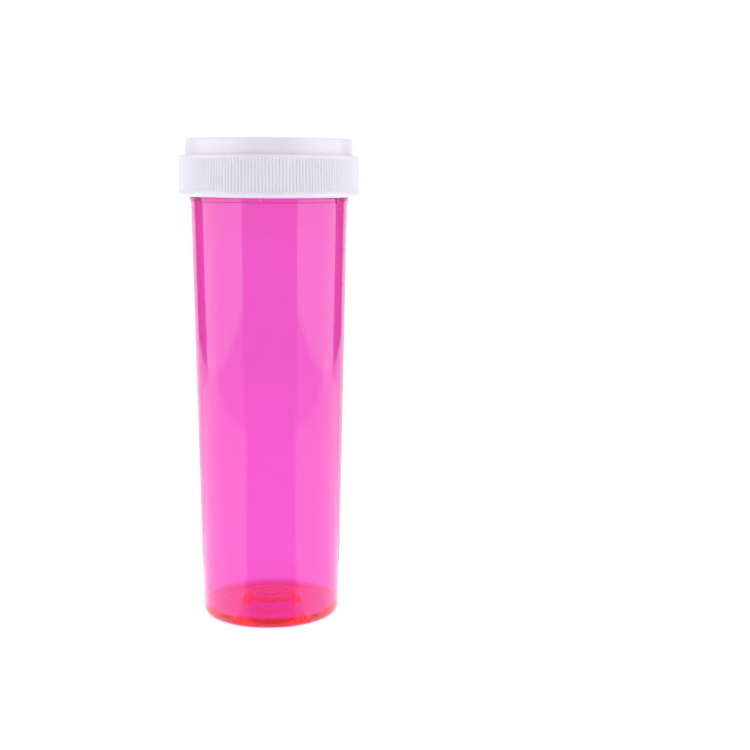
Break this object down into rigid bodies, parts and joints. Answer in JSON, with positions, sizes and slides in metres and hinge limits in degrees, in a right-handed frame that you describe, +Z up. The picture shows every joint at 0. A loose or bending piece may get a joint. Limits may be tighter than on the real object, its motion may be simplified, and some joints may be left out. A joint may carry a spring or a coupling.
{
  "type": "prescription vial",
  "caption": "Tall translucent pink prescription vial with a white reversible cap that is pushed down and turned to open.",
  "frame": {"origin": "centre of the foot, on the surface that the vial stands on", "axes": "+Z up along the vial's axis towards the cap; the front, -Y, has one of the bayonet's stop ribs"},
  "size_m": [0.0562, 0.0562, 0.1504],
  "materials": {
    "pink_polypropylene": "glossy, clear tinted polypropylene",
    "white_polypropylene": "satin opaque white",
    "white_polyethylene": "soft satin natural white"
  },
  "bodies": {
    "vial": {"vial_body": "pink_polypropylene"},
    "seal": {"seal_disc": "white_polyethylene"},
    "cap": {"cap_shell": "white_polypropylene"}
  },
  "joints": [
    {"name": "cap_lift", "type": "slide", "parent": "vial", "child": "seal", "axis": [0, 0, 1], "range_m": [0, 0.04]},
    {"name": "cap_turn", "type": "hinge", "parent": "seal", "child": "cap", "pos_m": [0, 0, 0.138], "axis": [0, 0, -1], "range_deg": [0, 38]}
  ]
}
